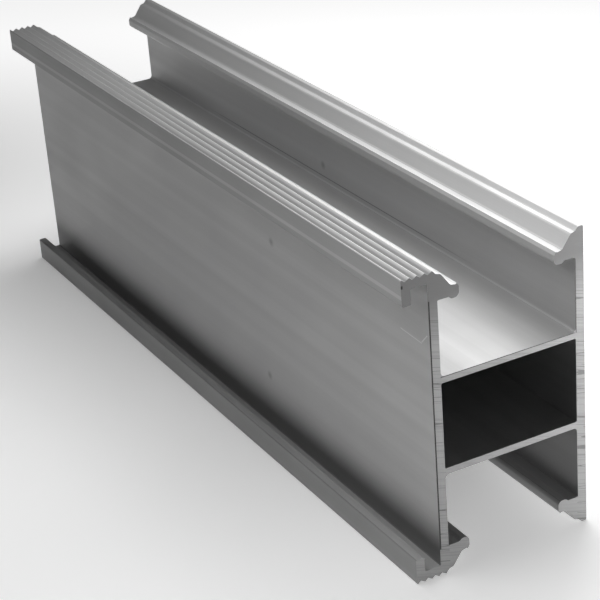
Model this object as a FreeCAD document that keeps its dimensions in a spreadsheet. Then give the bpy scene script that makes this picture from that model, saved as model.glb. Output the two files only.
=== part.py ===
# Extruded aluminium mounting rail: a length of box section with one closed chamber,
# a lipped channel above and below it, and two hooked, serrated flanges on the left wall.
# The rail lies along Y. Across it is X, and Z is up.
import FreeCAD, Part
import os

import Sketcher

# Driving dimensions in millimetres. Depths in the head are measured down from the crest,
# and reaches in the head sideways from the inner face of the wall.
SIZES = {
    "rail_length": 298.0,
    "rail_height": 100.0,
    "inner_width": 47.3,      # between the two walls
    "wall": 3.1,
    "rib": 2.1,               # the two floors that close the chamber
    "chamber_height": 28.2,
    "chamber_round": 0.5,
    "channel_round": 1.4,     # where a channel's floor meets a wall
    "lip_reach": 7.3,         # how far a lip stands into the channel's mouth
    "lip_depth": 9.45,        # underside of the lip
    "lip_round": 0.4,         # where the lip's underside meets the wall
    "bead_drop": 0.75,        # the bead hangs this far below the lip's underside
    "bead_width": 2.6,
    "bead_slope": 1.0,
    "nose_round": 1.6,        # lower corner of the lip's nose
    "nose_top": 7.0,          # depth where the nose starts
    "nib_depth": 5.95,        # the small raised edge at the end of the lower ledge
    "nib_width": 0.6,
    "lower_ledge_depth": 6.2,
    "lower_ledge_width": 1.6,
    "lower_ledge_fall": 0.3,
    "lower_ledge_round": 1.6,  # hollow where the slope runs out into the lower ledge
    "upper_ledge_depth": 1.25,
    "upper_ledge_reach": 1.4,
    "upper_ledge_fall": 0.4,
    "upper_ledge_round": 1.2,  # front edge of the upper ledge
    "crest_back": 1.25,       # the crest starts this far behind the wall's inner face
    "crest_slope": 1.1,       # width of the slope from the upper ledge to the crest
    "crest_hollow": 0.8,      # radius where that slope meets the upper ledge
    "crest_round": 0.5,       # edges of the crest
    "flange_reach": 8.5,      # how far a flange stands out from the left wall
    "flange": 3.5,            # flange thickness, over the teeth
    "flange_round": 0.5,      # where the flange meets the wall
    "hook": 3.0,              # hook thickness
    "hook_drop": 8.4,         # the hook's end
    "hook_round": 0.5,        # inner corner between flange and hook
    "hook_end_round": 0.5,
    "edge_break": 0.2,        # outer corner of the flange
    "tooth_pitch": 2.5,
    "tooth_land": 0.1,
    "tooth_depth": 0.85,
    "tooth_steep": 1.0,       # width of a groove's steep side, away from the wall
}

CLOSE = 1e-4

doc = FreeCAD.newDocument("mounting_rail")
sheet = doc.addObject("Spreadsheet::Sheet", "sizes")
for row, (name, size) in enumerate(SIZES.items(), start=1):
    sheet.set(f"A{row}", name)
    sheet.set(f"B{row}", str(size))
    sheet.setAlias(f"B{row}", name)
doc.recompute()

rail = doc.addObject("PartDesign::Body", "mounting_rail")
rail.Label = "mounting_rail"


def origin_plane(role):
    """The body's own XY, XZ or YZ plane."""
    return next(item for item in rail.Origin.OriginFeatures if item.Role == role)


def section(name, corners):
    """A closed outline across the rail. Each corner is a pair of formulas, for X and Z.

    The corners start on a ring, and their two dimensions pull them into place.
    """
    sketch = rail.newObject("Sketcher::SketchObject", name)
    sketch.AttachmentSupport = (origin_plane("XZ_Plane"), [""])
    sketch.MapMode = "FlatFace"
    start, end, across, up = 1, 2, "DistanceX", "DistanceY"
    turn = 360 / len(corners)
    spoke = FreeCAD.Vector(SIZES["rail_height"], 0, 0)
    ring = [FreeCAD.Rotation(FreeCAD.Vector(0, 0, 1), turn * i).multVec(spoke) for i in range(len(corners))]
    for i in range(len(ring)):
        sketch.addGeometry(Part.LineSegment(ring[i], ring[(i + 1) % len(ring)]), False)
    for i, (x, z) in enumerate(corners.values()):
        sketch.addConstraint(Sketcher.Constraint("Coincident", i - 1 if i else len(ring) - 1, end, i, start))
        for kind, formula, place in ((across, x, ring[i].x), (up, z, ring[i].y)):
            number = sketch.addConstraint(Sketcher.Constraint(kind, i, start, place))
            sketch.setExpression(f"Constraints[{number}]", formula)
    doc.recompute()
    sketch.solve()
    if not sketch.FullyConstrained:
        raise RuntimeError(f"{name} isn't fully constrained")
    return sketch


def extrude(kind, name, sketch):
    """A Pad or Pocket of the sketch over the whole length, half to each side."""
    feature = rail.newObject(f"PartDesign::{kind}", name)
    feature.Profile = sketch
    feature.SideType = "Symmetric"
    feature.setExpression("Length", "sizes.rail_length")
    doc.recompute()
    return feature


def round_corners(name, sketch, corners, picked, radius):
    """Rounds the long edges that run through the picked corners of the sketch."""
    base = rail.Tip
    names = list(corners)
    start = 1
    edges = []
    for corner in picked:
        spot = sketch.Placement.multVec(sketch.getPoint(names.index(corner), start))
        for number, edge in enumerate(base.Shape.Edges, start=1):
            ends = [vertex.Point for vertex in edge.Vertexes]
            if all(abs(p.x - spot.x) < CLOSE and abs(p.z - spot.z) < CLOSE for p in ends):
                edges.append(f"Edge{number}")
    if len(edges) != len(picked):
        raise RuntimeError(f"{name} found {len(edges)} edges for {len(picked)} corners")
    feature = rail.newObject("PartDesign::Fillet", name)
    feature.Base = (base, edges)
    feature.setExpression("Radius", f"sizes.{radius}")
    doc.recompute()
    return feature


def mirror(name, role):
    """Mirrors all that the body has so far, and keeps both halves."""
    feature = rail.newObject("PartDesign::Mirrored", name)
    feature.TransformMode = "Whole shape"
    feature.MirrorPlane = (origin_plane(role), [""])
    feature.Refine = True
    rail.Tip = feature
    doc.recompute()
    return feature


# Upper left quarter of the box section, with one lip. X = 0 is midway between the walls
# and Z = 0 is the middle of the chamber.
INNER = "-sizes.inner_width / 2"
OUTER = f"{INNER} - sizes.wall"
CREST = "sizes.rail_height / 2"
TIP = f"{INNER} + sizes.lip_reach"
CEILING = "sizes.chamber_height / 2"
LIP_UNDER = f"{CREST} - sizes.lip_depth"

quarter_corners = {
    "wall_foot": (OUTER, "0 mm"),
    "crest_outer": (OUTER, CREST),
    "crest_inner": (f"{INNER} - sizes.crest_back", CREST),
    "upper_ledge_back": (f"{INNER} - sizes.crest_back + sizes.crest_slope", f"{CREST} - sizes.upper_ledge_depth"),
    "upper_ledge_front": (
        f"{INNER} + sizes.upper_ledge_reach",
        f"{CREST} - sizes.upper_ledge_depth - sizes.upper_ledge_fall",
    ),
    "lower_ledge_back": (
        f"{TIP} - sizes.nib_width - sizes.lower_ledge_width - sizes.nib_width",
        f"{CREST} - sizes.lower_ledge_depth + sizes.lower_ledge_fall",
    ),
    "lower_ledge_front": (f"{TIP} - sizes.nib_width - sizes.nib_width", f"{CREST} - sizes.lower_ledge_depth"),
    "nib": (f"{TIP} - sizes.nib_width", f"{CREST} - sizes.nib_depth"),
    "nose_top": (TIP, f"{CREST} - sizes.nose_top"),
    "nose_bottom": (TIP, f"{LIP_UNDER} - sizes.bead_drop"),
    "bead_bottom": (f"{TIP} - sizes.bead_width", f"{LIP_UNDER} - sizes.bead_drop"),
    "bead_back": (f"{TIP} - sizes.bead_width - sizes.bead_slope", LIP_UNDER),
    "under_lip": (INNER, LIP_UNDER),
    "channel_floor": (INNER, f"{CEILING} + sizes.rib"),
    "floor_middle": ("0 mm", f"{CEILING} + sizes.rib"),
    "ceiling_middle": ("0 mm", CEILING),
    "chamber_corner": (INNER, CEILING),
    "wall_inner_foot": (INNER, "0 mm"),
}
quarter = section("quarter_section", quarter_corners)
extrude("Pad", "quarter_of_box", quarter)
round_corners("channel_floor_round", quarter, quarter_corners, ["channel_floor"], "channel_round")
round_corners("chamber_corner_round", quarter, quarter_corners, ["chamber_corner"], "chamber_round")
round_corners("lip_root_round", quarter, quarter_corners, ["under_lip"], "lip_round")
round_corners("nose_lower_round", quarter, quarter_corners, ["nose_bottom"], "nose_round")
round_corners("lower_ledge_hollow", quarter, quarter_corners, ["lower_ledge_back"], "lower_ledge_round")
round_corners("upper_ledge_edge", quarter, quarter_corners, ["upper_ledge_front"], "upper_ledge_round")
round_corners("crest_foot_hollow", quarter, quarter_corners, ["upper_ledge_back"], "crest_hollow")
round_corners("crest_rounds", quarter, quarter_corners, ["crest_outer", "crest_inner"], "crest_round")
mirror("right_quarter", "YZ_Plane")

# The hooked flange that stands out from the left wall at the crest. It starts past the crest's
# rounded edge, so there is no dip between the two.
EDGE = f"{OUTER} - sizes.flange_reach"
HOOK_INNER = f"{EDGE} + sizes.hook"
FLANGE_UNDER = f"{CREST} - sizes.flange"
HOOK_END = f"{CREST} - sizes.hook_drop"

flange_corners = {
    "root_top": (f"{OUTER} + sizes.crest_round", CREST),
    "edge_top": (f"{EDGE} + sizes.edge_break", CREST),
    "edge_side": (EDGE, f"{CREST} - sizes.edge_break"),
    "hook_end_outer": (EDGE, HOOK_END),
    "hook_end_inner": (HOOK_INNER, HOOK_END),
    "hook_corner": (HOOK_INNER, FLANGE_UNDER),
    "root_under": (OUTER, FLANGE_UNDER),
}
flange = section("flange_section", flange_corners)
extrude("Pad", "hooked_flange", flange)
round_corners("flange_root_round", flange, flange_corners, ["root_under"], "flange_round")
round_corners("hook_corner_round", flange, flange_corners, ["hook_corner"], "hook_round")
round_corners("hook_end_rounds", flange, flange_corners, ["hook_end_outer", "hook_end_inner"], "hook_end_round")

# Serration: one groove beside the crest, repeated outwards as often as the flange has room.
GROOVE_START = f"{INNER} - sizes.crest_back - sizes.tooth_land"
GROOVE_WIDTH = "(sizes.tooth_pitch - sizes.tooth_land)"
TOOTHED = "sizes.wall + sizes.flange_reach - sizes.crest_back - sizes.tooth_land - sizes.edge_break"

groove_corners = {
    "gentle_side": (GROOVE_START, CREST),
    "groove_root": (f"{GROOVE_START} - {GROOVE_WIDTH} + sizes.tooth_steep", f"{CREST} - sizes.tooth_depth"),
    "steep_side": (f"{GROOVE_START} - {GROOVE_WIDTH}", CREST),
}
groove = section("groove_section", groove_corners)
before = rail.Tip.Shape.Volume
first_groove = extrude("Pocket", "first_groove", groove)
if first_groove.Shape.Volume >= before:
    raise RuntimeError("the first groove cuts nothing")

grooves = rail.newObject("PartDesign::LinearPattern", "serration")
grooves.Originals = [first_groove]
grooves.Direction = (origin_plane("YZ_Plane"), ["N_Axis"])
grooves.Reversed = True
grooves.Mode = "Spacing"
grooves.setExpression("Offset", "sizes.tooth_pitch")
grooves.setExpression("Occurrences", f"floor(({TOOTHED}) / sizes.tooth_pitch)")
rail.Tip = grooves
doc.recompute()

mirror("lower_half", "XY_Plane")

# The rail's origin is under the middle of its outline, so it rests on Z = 0.
rail.setExpression(".Placement.Base.x", "sizes.flange_reach / 2")
rail.setExpression(".Placement.Base.z", CREST)
doc.recompute()

for item in doc.Objects:
    if "Invalid" in item.State or "Error" in item.State:
        raise RuntimeError(f"{item.Name} failed: {item.State}")

shape = rail.Shape
if shape.isNull() or not shape.isValid() or len(shape.Solids) != 1:
    raise RuntimeError("the rail isn't one valid solid")

box = shape.BoundBox
print(f"rail {box.XLength:.2f} x {box.YLength:.2f} x {box.ZLength:.2f} mm, volume {shape.Volume:.0f} mm3")
print(f"x {box.XMin:.3f} to {box.XMax:.3f}, z {box.ZMin:.3f} to {box.ZMax:.3f}, grooves {grooves.Occurrences}")

os.makedirs("parts", exist_ok=True)
shape.exportStep(os.path.join("parts", f"{rail.Label}.step"))
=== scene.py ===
import math

import bmesh
import bpy
from mathutils import Euler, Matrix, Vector


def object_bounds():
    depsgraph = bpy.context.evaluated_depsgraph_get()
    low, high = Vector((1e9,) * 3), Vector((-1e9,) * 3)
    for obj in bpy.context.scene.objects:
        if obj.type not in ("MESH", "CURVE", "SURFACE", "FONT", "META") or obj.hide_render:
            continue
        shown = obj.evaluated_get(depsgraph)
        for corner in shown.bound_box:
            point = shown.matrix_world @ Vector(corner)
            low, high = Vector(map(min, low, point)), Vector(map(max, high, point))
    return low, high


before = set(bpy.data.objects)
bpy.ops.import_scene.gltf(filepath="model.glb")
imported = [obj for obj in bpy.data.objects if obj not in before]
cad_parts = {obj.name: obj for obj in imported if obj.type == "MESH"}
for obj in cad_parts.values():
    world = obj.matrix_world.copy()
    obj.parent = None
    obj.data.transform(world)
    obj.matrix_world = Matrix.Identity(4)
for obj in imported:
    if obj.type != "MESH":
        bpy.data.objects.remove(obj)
cadLow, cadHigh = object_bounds()
print("frame loaded:", ", ".join(sorted(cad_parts)))

scene = bpy.context.scene
scene.view_settings.view_transform = "Standard"


def linearColour(hexCode):  # sRGB hex to the linear values that the shaders take
    parts = [int(hexCode[i:i + 2], 16) / 255 for i in (1, 3, 5)]
    return [p / 12.92 if p <= 0.04045 else ((p + 0.055) / 1.055) ** 2.4 for p in parts] + [1.0]


def addNode(tree, kind, inputs=None, **settings):  # an input takes a plain value or another node's output
    node = tree.nodes.new(kind)
    for name, value in settings.items():
        setattr(node, name, value)
    for name, value in (inputs or {}).items():
        if isinstance(value, bpy.types.NodeSocket):
            tree.links.new(value, node.inputs[name])
        else:
            node.inputs[name].default_value = value
    return node


def stripMask(tree, spot, strip):  # 1 on a strip, given as the middle and half size of each coordinate in mm
    mask = 1.0
    for axis, (centre, half) in strip.items():
        inside = addNode(tree, "ShaderNodeMath", {
            0: spot.outputs[axis], 1: centre / 1000, 2: half / 1000}, operation="COMPARE")
        both = addNode(tree, "ShaderNodeMath", {0: mask, 1: inside.outputs[0]}, operation="MULTIPLY")
        mask = both.outputs[0]
    return mask


# the rail's section, in mm, with two of the part's own sizes
section = {
    "flangeReach": 8.5,
    "wall": 3.1,
    "faceSpread": 0.3,            # how far from a face's plane still counts as that face
    "endOn": 0.7,                 # a face whose normal points along the rail by more than this is an end
}
hookX, rightX = cadLow[0], cadHigh[0]            # m, the outer faces of the hooks and of the right wall
leftX = hookX + section["flangeReach"] / 1000    # and of the left wall
sectionX = (leftX + rightX) / 2
midHeight = (cadLow[2] + cadHigh[2]) / 2

# mill-finish aluminium, pressed through a die: a dull satin grey with fine lines and faint bands along its
# length, which draw its highlights out sideways
millFinish = {
    "grey": "#d3d3d3",
    "bandGrey": "#cbcbcb",
    "band": (7, 900, 7),          # mm across the rail, along it and up
    "bandBlend": (0.35, 0.65),    # values of the noise between which the two greys blend
    "hairline": (0.5, 180, 0.5),  # mm, coarser than the real ones, which are too fine to show
    "hairlineDepth": 0.006,       # mm
    "cloud": (22, 22, 22),        # mm, patches that handling left
    "handled": (0.7, 1.3),        # cloud and hairline together, where smoothest and where roughest
    "roughness": (0.62, 0.70),
    "drawnOut": 0.7,              # how far the hairlines draw a highlight out
    "drawnTurn": 0.25,            # of a full turn, so that they draw it out across themselves
    "footShade": (8, 24),              # mm above the floor: painted shade darkens the left wall below and leaves it bright above
    "footShadeShare": 0.55,            # of the brightness, kept under the painted shade down there
    "hookShadeShare": 0.74,            # and on the hooks' outer faces, under painted shade too
}
# the flanges' teeth: crests in their own grey, and painted shade in the grooves, darker towards their bottom
teeth = {
    "slope": -0.515,              # X of the normal of a groove's wide side
    "slopeSpread": 0.03,
    "grooveShadeGrey": "#9e9e9e",
    "crestGrey": "#cecece",
    "rise": (49.45, 49.9),        # mm from mid-height, between which the painted groove shade turns to the crests' grey
    "fades": (-60, 110),          # mm along the rail, between which the grooves lose their painted shade
    "roughness": 0.78,
}
# thin lines of painted light and shade: a painted highlight on the fillet in the corner of the upper
# channel, painted shade in a line just above it, and a painted highlight on the hook's outer face; their
# strip in mm, where they fade out in mm to either side of the rail's middle, or None where they run on, and
# their grey
paintedHighlightAndShadeLines = {
    "cornerHighlight": ({"X": (27.35, 0.35), "Z": (66.85, 0.45)}, None, "#dcdcdc"),
    "cornerShade": ({"X": (27.9, 0.1), "Z": (68.2, 0.2)}, (65, 95), "#a0a0a0"),
    "hook": ({"X": (-31.0, 0.1), "Z": (94.4, 0.6)}, None, "#c6c6c6"),
}
# marks of handling: small dark smudges, and two light scratches on the left wall
handlingMarks = {
    "smudges": ((-22.5, -53.2, 75.8), (-22.5, -43.6, 23.1), (27.9, 2.1, 72.5)),  # mm
    "smudgeRadius": 2.2,
    "smudgeShare": 0.5,           # of smudgeGrey, in a smudge's middle
    "smudgeGrey": "#8a8a8a",
    # for each scratch, degrees that the axes are turned by, and its strip in the turned axes
    "scratches": (
        (-2, {"Y": (-136.0, 5.8), "Z": (81.2, 0.15)}),
        (46, {"Y": (-157.8, 2.3), "Z": (-50.8, 0.15)}),
    ),
    "scratchGrey": "#e6e6e6",
}


def wallColour(tree, place, spot, onTooth, band):
    bandStart, bandEnd = millFinish["bandBlend"]
    inBand = addNode(tree, "ShaderNodeMapRange", {"Value": band, "From Min": bandStart, "From Max": bandEnd})
    layers = [(inBand.outputs[0], linearColour(millFinish["grey"]))]

    # the painted shade in the grooves
    fromMiddle = addNode(tree, "ShaderNodeMath", {
        0: spot.outputs["Z"], 1: midHeight}, operation="SUBTRACT")
    rise = addNode(tree, "ShaderNodeMath", {0: fromMiddle.outputs[0]}, operation="ABSOLUTE")
    grooveRise, crestRise = teeth["rise"]
    nearCrest = addNode(tree, "ShaderNodeMapRange", {
        "Value": rise.outputs[0], "From Min": grooveRise / 1000, "From Max": crestRise / 1000})
    toothShade = addNode(tree, "ShaderNodeMix", {
        0: nearCrest.outputs[0], 6: linearColour(teeth["grooveShadeGrey"]), 7: linearColour(teeth["crestGrey"])},
        data_type="RGBA")
    fadeStart, fadeEnd = teeth["fades"]
    toothShadeHere = addNode(tree, "ShaderNodeMapRange", {
        "Value": spot.outputs["Y"], "From Min": fadeStart / 1000, "From Max": fadeEnd / 1000,
        "To Min": 1.0, "To Max": 0.0}, interpolation_type="SMOOTHSTEP")
    toothShadeMask = addNode(tree, "ShaderNodeMath", {0: onTooth, 1: toothShadeHere.outputs[0]}, operation="MULTIPLY")
    layers.append((toothShadeMask.outputs[0], toothShade.outputs[2]))

    # the marks of handling
    radius = handlingMarks["smudgeRadius"] / 1000
    for centre in handlingMarks["smudges"]:
        gap = addNode(tree, "ShaderNodeVectorMath", {
            0: place.outputs["Object"], 1: [size / 1000 for size in centre]}, operation="DISTANCE")
        smudge = addNode(tree, "ShaderNodeMapRange", {
            "Value": gap.outputs["Value"], "From Min": 0.0, "From Max": radius,
            "To Min": handlingMarks["smudgeShare"], "To Max": 0.0}, interpolation_type="SMOOTHSTEP")
        layers.append((smudge.outputs[0], linearColour(handlingMarks["smudgeGrey"])))
    spread = section["faceSpread"] / 1000
    onLeft = addNode(tree, "ShaderNodeMath", {
        0: spot.outputs["X"], 1: leftX, 2: spread}, operation="COMPARE")
    for angle, strip in handlingMarks["scratches"]:
        turned = addNode(tree, "ShaderNodeMapping", {
            "Vector": place.outputs["Object"], "Rotation": (math.radians(angle), 0, 0)})
        turnedSpot = addNode(tree, "ShaderNodeSeparateXYZ", {0: turned.outputs[0]})
        scratch = addNode(tree, "ShaderNodeMath", {
            0: stripMask(tree, turnedSpot, strip), 1: onLeft.outputs[0]}, operation="MULTIPLY")
        layers.append((scratch.outputs[0], linearColour(handlingMarks["scratchGrey"])))

    colour = linearColour(millFinish["bandGrey"])
    for mask, shade in layers:
        colour = addNode(tree, "ShaderNodeMix", {0: mask, 6: colour, 7: shade}, data_type="RGBA").outputs[2]

    # painted shade low on the left wall and on the hooks' outer faces, where only part of the brightness is
    # left
    footStart, footEnd = millFinish["footShade"]
    footShade = addNode(tree, "ShaderNodeMapRange", {
        "Value": spot.outputs["Z"], "From Min": footStart / 1000, "From Max": footEnd / 1000,
        "To Min": millFinish["footShadeShare"], "To Max": 1.0}, interpolation_type="SMOOTHSTEP")
    leftShadeShare = addNode(tree, "ShaderNodeMix", {0: onLeft.outputs[0], 2: 1.0, 3: footShade.outputs[0]})
    onHook = addNode(tree, "ShaderNodeMath", {
        0: spot.outputs["X"], 1: hookX, 2: spread}, operation="COMPARE")
    shadeShare = addNode(tree, "ShaderNodeMix", {
        0: onHook.outputs[0], 2: leftShadeShare.outputs[0], 3: millFinish["hookShadeShare"]})
    colour = addNode(tree, "ShaderNodeMix", {
        0: shadeShare.outputs[0], 6: (0, 0, 0, 1), 7: colour}, data_type="RGBA").outputs[2]

    # the thin lines of painted highlight and painted shade
    alongRail = addNode(tree, "ShaderNodeMath", {0: spot.outputs["Y"]}, operation="ABSOLUTE")
    for strip, fades, grey in paintedHighlightAndShadeLines.values():
        mask = stripMask(tree, spot, strip)
        if fades:
            paintedHere = addNode(tree, "ShaderNodeMapRange", {
                "Value": alongRail.outputs[0], "From Min": fades[0] / 1000, "From Max": fades[1] / 1000,
                "To Min": 1.0, "To Max": 0.0})
            faded = addNode(tree, "ShaderNodeMath", {
                0: mask, 1: paintedHere.outputs[0]}, operation="MULTIPLY")
            mask = faded.outputs[0]
        colour = addNode(tree, "ShaderNodeMix", {
            0: mask, 6: colour, 7: linearColour(grey)}, data_type="RGBA").outputs[2]
    return colour


# the ends, sawn with a toothed blade that came in from above: a scored, duller grey
sawnEnd = {
    "grey": "#a6a6a6",
    "headGrey": "#7e7e7e",        # painted shade, darker towards the top
    "head": (77, 92),             # mm above the floor, between which grey turns to the painted shade
    "roughness": 0.5,
    "tilt": 17,                   # degrees by which the marks fall towards +X
    "kerf": (60, 60, 0.45),       # mm, tooth marks, coarser than the real ones, which are too fine to show
    "kerfBlend": (0.40, 0.50),    # values of the noise, in the deepest marks and beside them
    "kerfShare": 0.28,            # of scoreGrey, in the deepest marks
    "kerfDepth": 0.03,            # mm
    "score": (60, 60, 2.6),       # mm, the deeper scores, which show on the walls and not on the ribs
    "scoreAt": (0.5, 0.01),       # value of the noise at which one runs, and how far from it
    "scoreMargin": 0.25,          # mm beyond the sides of the walls
    "scoreGrey": "#808080",
    # dark lines along the edges and a dark spot at the hook's corner: their strip in mm and their grey
    "darkEdgeMarks": {
        "leftWeb": ({"X": (-22.3, 0.25), "Z": (50.0, 41.0)}, "#444444"),
        "upperRib": ({"X": (4.0, 23.5), "Z": (66.1, 0.15)}, "#5a5a5a"),
        "rightWeb": ({"X": (28.05, 0.15), "Z": (78.0, 12.0)}, "#5a5a5a"),
        "hook": ({"X": (-30.7, 0.3), "Z": (97.7, 0.5)}, "#444444"),
    },
}


def endColour(tree, spot, kerf, score):
    headStart, headEnd = sawnEnd["head"]
    inHeadShade = addNode(tree, "ShaderNodeMapRange", {
        "Value": spot.outputs["Z"], "From Min": headStart / 1000, "From Max": headEnd / 1000})
    deepKerf, noKerf = sawnEnd["kerfBlend"]
    inKerf = addNode(tree, "ShaderNodeMapRange", {
        "Value": kerf, "From Min": deepKerf, "From Max": noKerf,
        "To Min": sawnEnd["kerfShare"], "To Max": 0.0})
    scoreValue, scoreWidth = sawnEnd["scoreAt"]
    onScore = addNode(tree, "ShaderNodeMath", {0: score, 1: scoreValue, 2: scoreWidth}, operation="COMPARE")
    fromMiddle = addNode(tree, "ShaderNodeMath", {
        0: spot.outputs["X"], 1: sectionX}, operation="SUBTRACT")
    aside = addNode(tree, "ShaderNodeMath", {0: fromMiddle.outputs[0]}, operation="ABSOLUTE")
    halfWall = section["wall"] / 2000
    onWall = addNode(tree, "ShaderNodeMath", {
        0: aside.outputs[0], 1: (rightX - leftX) / 2 - halfWall,
        2: halfWall + sawnEnd["scoreMargin"] / 1000}, operation="COMPARE")
    inScore = addNode(tree, "ShaderNodeMath", {
        0: onScore.outputs[0], 1: onWall.outputs[0]}, operation="MULTIPLY")

    # the painted shade towards the top comes first, then the saw's marks and the dark edge marks
    layers = [(inHeadShade.outputs[0], sawnEnd["headGrey"]), (inKerf.outputs[0], sawnEnd["scoreGrey"]),
              (inScore.outputs[0], sawnEnd["scoreGrey"])]
    layers += [(stripMask(tree, spot, strip), grey) for strip, grey in sawnEnd["darkEdgeMarks"].values()]
    colour = linearColour(sawnEnd["grey"])
    for mask, grey in layers:
        colour = addNode(tree, "ShaderNodeMix", {
            0: mask, 6: colour, 7: linearColour(grey)}, data_type="RGBA").outputs[2]
    return colour


def railMaterial():
    mat = bpy.data.materials.new("mill_finish_aluminium")
    mat.use_nodes = True
    tree = mat.node_tree
    tree.nodes.clear()
    place = addNode(tree, "ShaderNodeTexCoord")
    spot = addNode(tree, "ShaderNodeSeparateXYZ", {0: place.outputs["Object"]})
    facing = addNode(tree, "ShaderNodeSeparateXYZ", {0: place.outputs["Normal"]})
    facingEnd = addNode(tree, "ShaderNodeMath", {0: facing.outputs["Y"]}, operation="ABSOLUTE")
    isEnd = addNode(tree, "ShaderNodeMath", {
        0: facingEnd.outputs[0], 1: section["endOn"]}, operation="GREATER_THAN").outputs[0]
    onTooth = addNode(tree, "ShaderNodeMath", {
        0: facing.outputs["X"], 1: teeth["slope"], 2: teeth["slopeSpread"]}, operation="COMPARE").outputs[0]

    # the die's marks run along the rail and the blade's fall to one side, each with its spacings and detail
    tilt = math.radians(sawnEnd["tilt"])
    tilted = addNode(tree, "ShaderNodeMapping", {
        "Vector": place.outputs["Object"], "Rotation": (0, -tilt, 0)})
    marks = {}
    for name, where, spacing, detail in (
            ("band", place.outputs["Object"], millFinish["band"], 2.0),
            ("hairline", place.outputs["Object"], millFinish["hairline"], 3.0),
            ("cloud", place.outputs["Object"], millFinish["cloud"], 3.0),
            ("kerf", tilted.outputs[0], sawnEnd["kerf"], 2.0),
            ("score", tilted.outputs[0], sawnEnd["score"], 1.0)):
        drawn = addNode(tree, "ShaderNodeMapping", {
            "Vector": where, "Scale": [1000 / size for size in spacing]})
        noise = addNode(tree, "ShaderNodeTexNoise", {
            "Vector": drawn.outputs[0], "Scale": 1.0, "Detail": detail})
        marks[name] = noise.outputs["Fac"]

    wall = wallColour(tree, place, spot, onTooth, marks["band"])
    end = endColour(tree, spot, marks["kerf"], marks["score"])
    colour = addNode(tree, "ShaderNodeMix", {0: isEnd, 6: wall, 7: end}, data_type="RGBA")

    handled = addNode(tree, "ShaderNodeMath", {0: marks["cloud"], 1: marks["hairline"]}, operation="ADD")
    smoothest, roughest = millFinish["handled"]
    wallRoughness = addNode(tree, "ShaderNodeMapRange", {
        "Value": handled.outputs[0], "From Min": smoothest, "From Max": roughest,
        "To Min": millFinish["roughness"][0], "To Max": millFinish["roughness"][1]})
    faceRoughness = addNode(tree, "ShaderNodeMix", {
        0: onTooth, 2: wallRoughness.outputs[0], 3: teeth["roughness"]})
    roughness = addNode(tree, "ShaderNodeMix", {
        0: isEnd, 2: faceRoughness.outputs[0], 3: sawnEnd["roughness"]})

    relief = addNode(tree, "ShaderNodeMix", {0: isEnd, 2: marks["hairline"], 3: marks["kerf"]})
    depth = addNode(tree, "ShaderNodeMapRange", {
        "Value": isEnd,
        "To Min": millFinish["hairlineDepth"] / 1000, "To Max": sawnEnd["kerfDepth"] / 1000})
    bump = addNode(tree, "ShaderNodeBump", {"Height": relief.outputs[0], "Distance": depth.outputs[0]})
    grain = addNode(tree, "ShaderNodeMix", {
        0: isEnd, 4: (0, 1, 0), 5: (math.cos(tilt), 0, -math.sin(tilt))}, data_type="VECTOR")
    metal = addNode(tree, "ShaderNodeBsdfPrincipled", {
        "Base Color": colour.outputs[2], "Metallic": 1.0, "Roughness": roughness.outputs[0],
        "Anisotropic": millFinish["drawnOut"], "Anisotropic Rotation": millFinish["drawnTurn"],
        "Normal": bump.outputs[0], "Tangent": grain.outputs[1]})
    addNode(tree, "ShaderNodeOutputMaterial", {"Surface": metal.outputs[0]})
    return mat


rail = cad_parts["mounting_rail"]
rail.material_slots[0].material = railMaterial()
print("rail finished")

# matt white floor, big enough to fill the view; past the lamps' reach it glows, so that it stays pale
paleFloor = {
    "grey": "#f4f4f4",
    "halfWidth": 3.0,                # m
    "roughness": 0.9,
    "gloss": 0.0,                    # none, so that no lamp leaves a streak on it
    "glow": (0.12, 0.8),             # beside the rail and far from it
    "glowMiddle": (-0.12, 0.1, 0),   # m, behind the rail on the left
    "glowGrows": (0.15, 0.42),       # m from there
}


def floorMaterial():
    mat = bpy.data.materials.new("matt_white_floor")
    mat.use_nodes = True
    tree = mat.node_tree
    tree.nodes.clear()
    place = addNode(tree, "ShaderNodeTexCoord")
    away = addNode(tree, "ShaderNodeVectorMath", {
        0: place.outputs["Object"], 1: paleFloor["glowMiddle"]}, operation="DISTANCE")
    growStart, growEnd = paleFloor["glowGrows"]
    glow = addNode(tree, "ShaderNodeMapRange", {
        "Value": away.outputs["Value"], "From Min": growStart, "From Max": growEnd,
        "To Min": paleFloor["glow"][0], "To Max": paleFloor["glow"][1]}, interpolation_type="SMOOTHSTEP")
    # the camera and the metal see the glow, but it lights nothing else
    ray = addNode(tree, "ShaderNodeLightPath")
    seen = addNode(tree, "ShaderNodeMath", {
        0: ray.outputs["Is Camera Ray"], 1: ray.outputs["Is Glossy Ray"]}, operation="ADD")
    seenAtAll = addNode(tree, "ShaderNodeMath", {
        0: seen.outputs[0], 1: ray.outputs["Is Transmission Ray"]}, operation="ADD", use_clamp=True)
    shown = addNode(tree, "ShaderNodeMath", {
        0: glow.outputs[0], 1: seenAtAll.outputs[0]}, operation="MULTIPLY")
    paint = addNode(tree, "ShaderNodeBsdfPrincipled", {
        "Base Color": linearColour(paleFloor["grey"]), "Roughness": paleFloor["roughness"],
        "Specular IOR Level": paleFloor["gloss"],
        "Emission Color": (1, 1, 1, 1), "Emission Strength": shown.outputs[0]})
    addNode(tree, "ShaderNodeOutputMaterial", {"Surface": paint.outputs[0]})
    return mat


def addFloor():
    mesh = bpy.data.meshes.new("floor")
    bm = bmesh.new()
    bmesh.ops.create_grid(bm, x_segments=1, y_segments=1, size=paleFloor["halfWidth"])
    bm.to_mesh(mesh)
    bm.free()
    floor = bpy.data.objects.new("floor", mesh)
    scene.collection.objects.link(floor)
    mesh.materials.append(floorMaterial())


addFloor()
print("floor laid")

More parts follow.
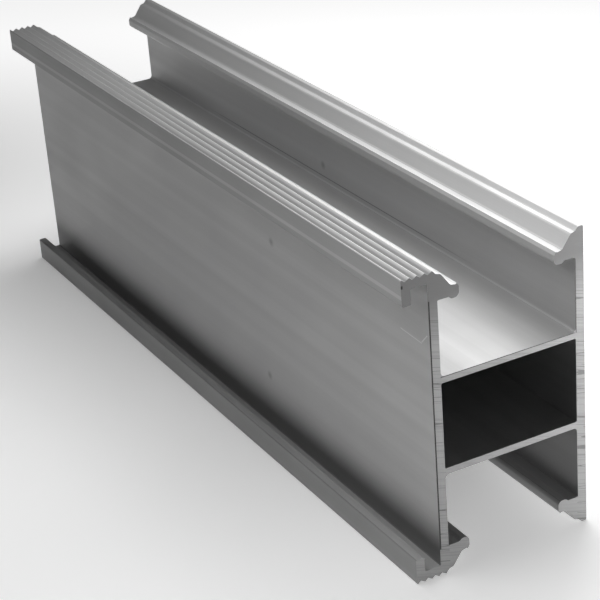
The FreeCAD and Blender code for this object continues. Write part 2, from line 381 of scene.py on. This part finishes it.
# softboxes in a dim, even surround: key and right on the right, back behind, left and pool on the left,
# above over the rail, and front and rear low by its ends, where they light only the metal
nearEnd = (0, -0.17, 0.07)
farEnd = (0, 0.17, 0.07)
nearPart = (0, -0.12, 0.05)
studio = {
    "surroundStrength": 0.04,
    # for each softbox: what it points at, its heading and height seen from there in degrees,
    # its distance and width in metres, its radiance, and False where it doesn't light the floor
    "softboxes": {
        "key": (nearPart, 33, 46, 0.4, 0.24, 3.6),
        "right": (nearPart, 60, 48, 0.4, 0.24, 1.3),
        "above": ((0.01, 0.08, 0.1), 0, 90, 0.22, 0.2, 3.1),
        "left": (nearEnd, 300, 45, 0.25, 0.15, 0.8),
        "pool": ((-0.13, -0.09, 0), 0, 90, 0.2, 0.15, 1.7),
        "back": ((0, -0.03, 0.1), 4, 34, 0.3, 0.2, 0.4),
        "front": (nearEnd, 126, -12, 0.2, 0.08, 5.2, False),
        "rear": (farEnd, 54, -12, 0.2, 0.08, 5.0, False),
    },
}


def addSoftbox(name, target, heading, height, distance, width, radiance, lightsFloor=True):
    lamp = bpy.data.lights.new(name, "AREA")
    lamp.shape = "SQUARE"
    lamp.size = width
    lamp.energy = radiance * math.pi * width ** 2   # W
    box = bpy.data.objects.new(name, lamp)
    heading, height = math.radians(heading), math.radians(height)
    away = Vector((
        math.sin(heading) * math.cos(height), math.cos(heading) * math.cos(height), math.sin(height)))
    box.location = Vector(target) + away * distance
    box.rotation_euler = away.to_track_quat("Z", "Y").to_euler()
    box.visible_camera = False
    box.visible_diffuse = lightsFloor   # the metal has no diffuse part, so this is for the floor alone
    scene.collection.objects.link(box)


for name, settings in studio["softboxes"].items():
    addSoftbox("softbox_" + name, *settings)
world = bpy.data.worlds.new("surround")
scene.world = world
world.use_nodes = True
surround = world.node_tree.nodes["Background"]
surround.inputs["Color"].default_value = (1, 1, 1, 1)
surround.inputs["Strength"].default_value = studio["surroundStrength"]
print("lights set")

# the photograph's viewpoint, worked out from the rail's straight edges
viewpoint = {
    "place": (-0.2753, -0.5680, 0.3264),   # m
    "heading": 26.935,                     # degrees from +Y towards +X
    "down": 25.386,
    "roll": -4.628,
    "lens": 116.285,                       # mm on a 36 mm sensor
    "nearClip": 0.01,                      # m
}


def addCamera():
    camera = bpy.data.objects.new("camera", bpy.data.cameras.new("camera"))
    camera.data.lens = viewpoint["lens"]
    camera.data.clip_start = viewpoint["nearClip"]
    camera.location = viewpoint["place"]
    tip, turn = math.radians(90 - viewpoint["down"]), math.radians(viewpoint["heading"])
    aim = Euler((tip, 0, -turn), "XYZ").to_matrix()
    roll = Euler((0, 0, math.radians(viewpoint["roll"])), "XYZ").to_matrix()
    camera.rotation_euler = (aim @ roll).to_euler()
    scene.collection.objects.link(camera)
    scene.camera = camera


addCamera()
print("camera placed")
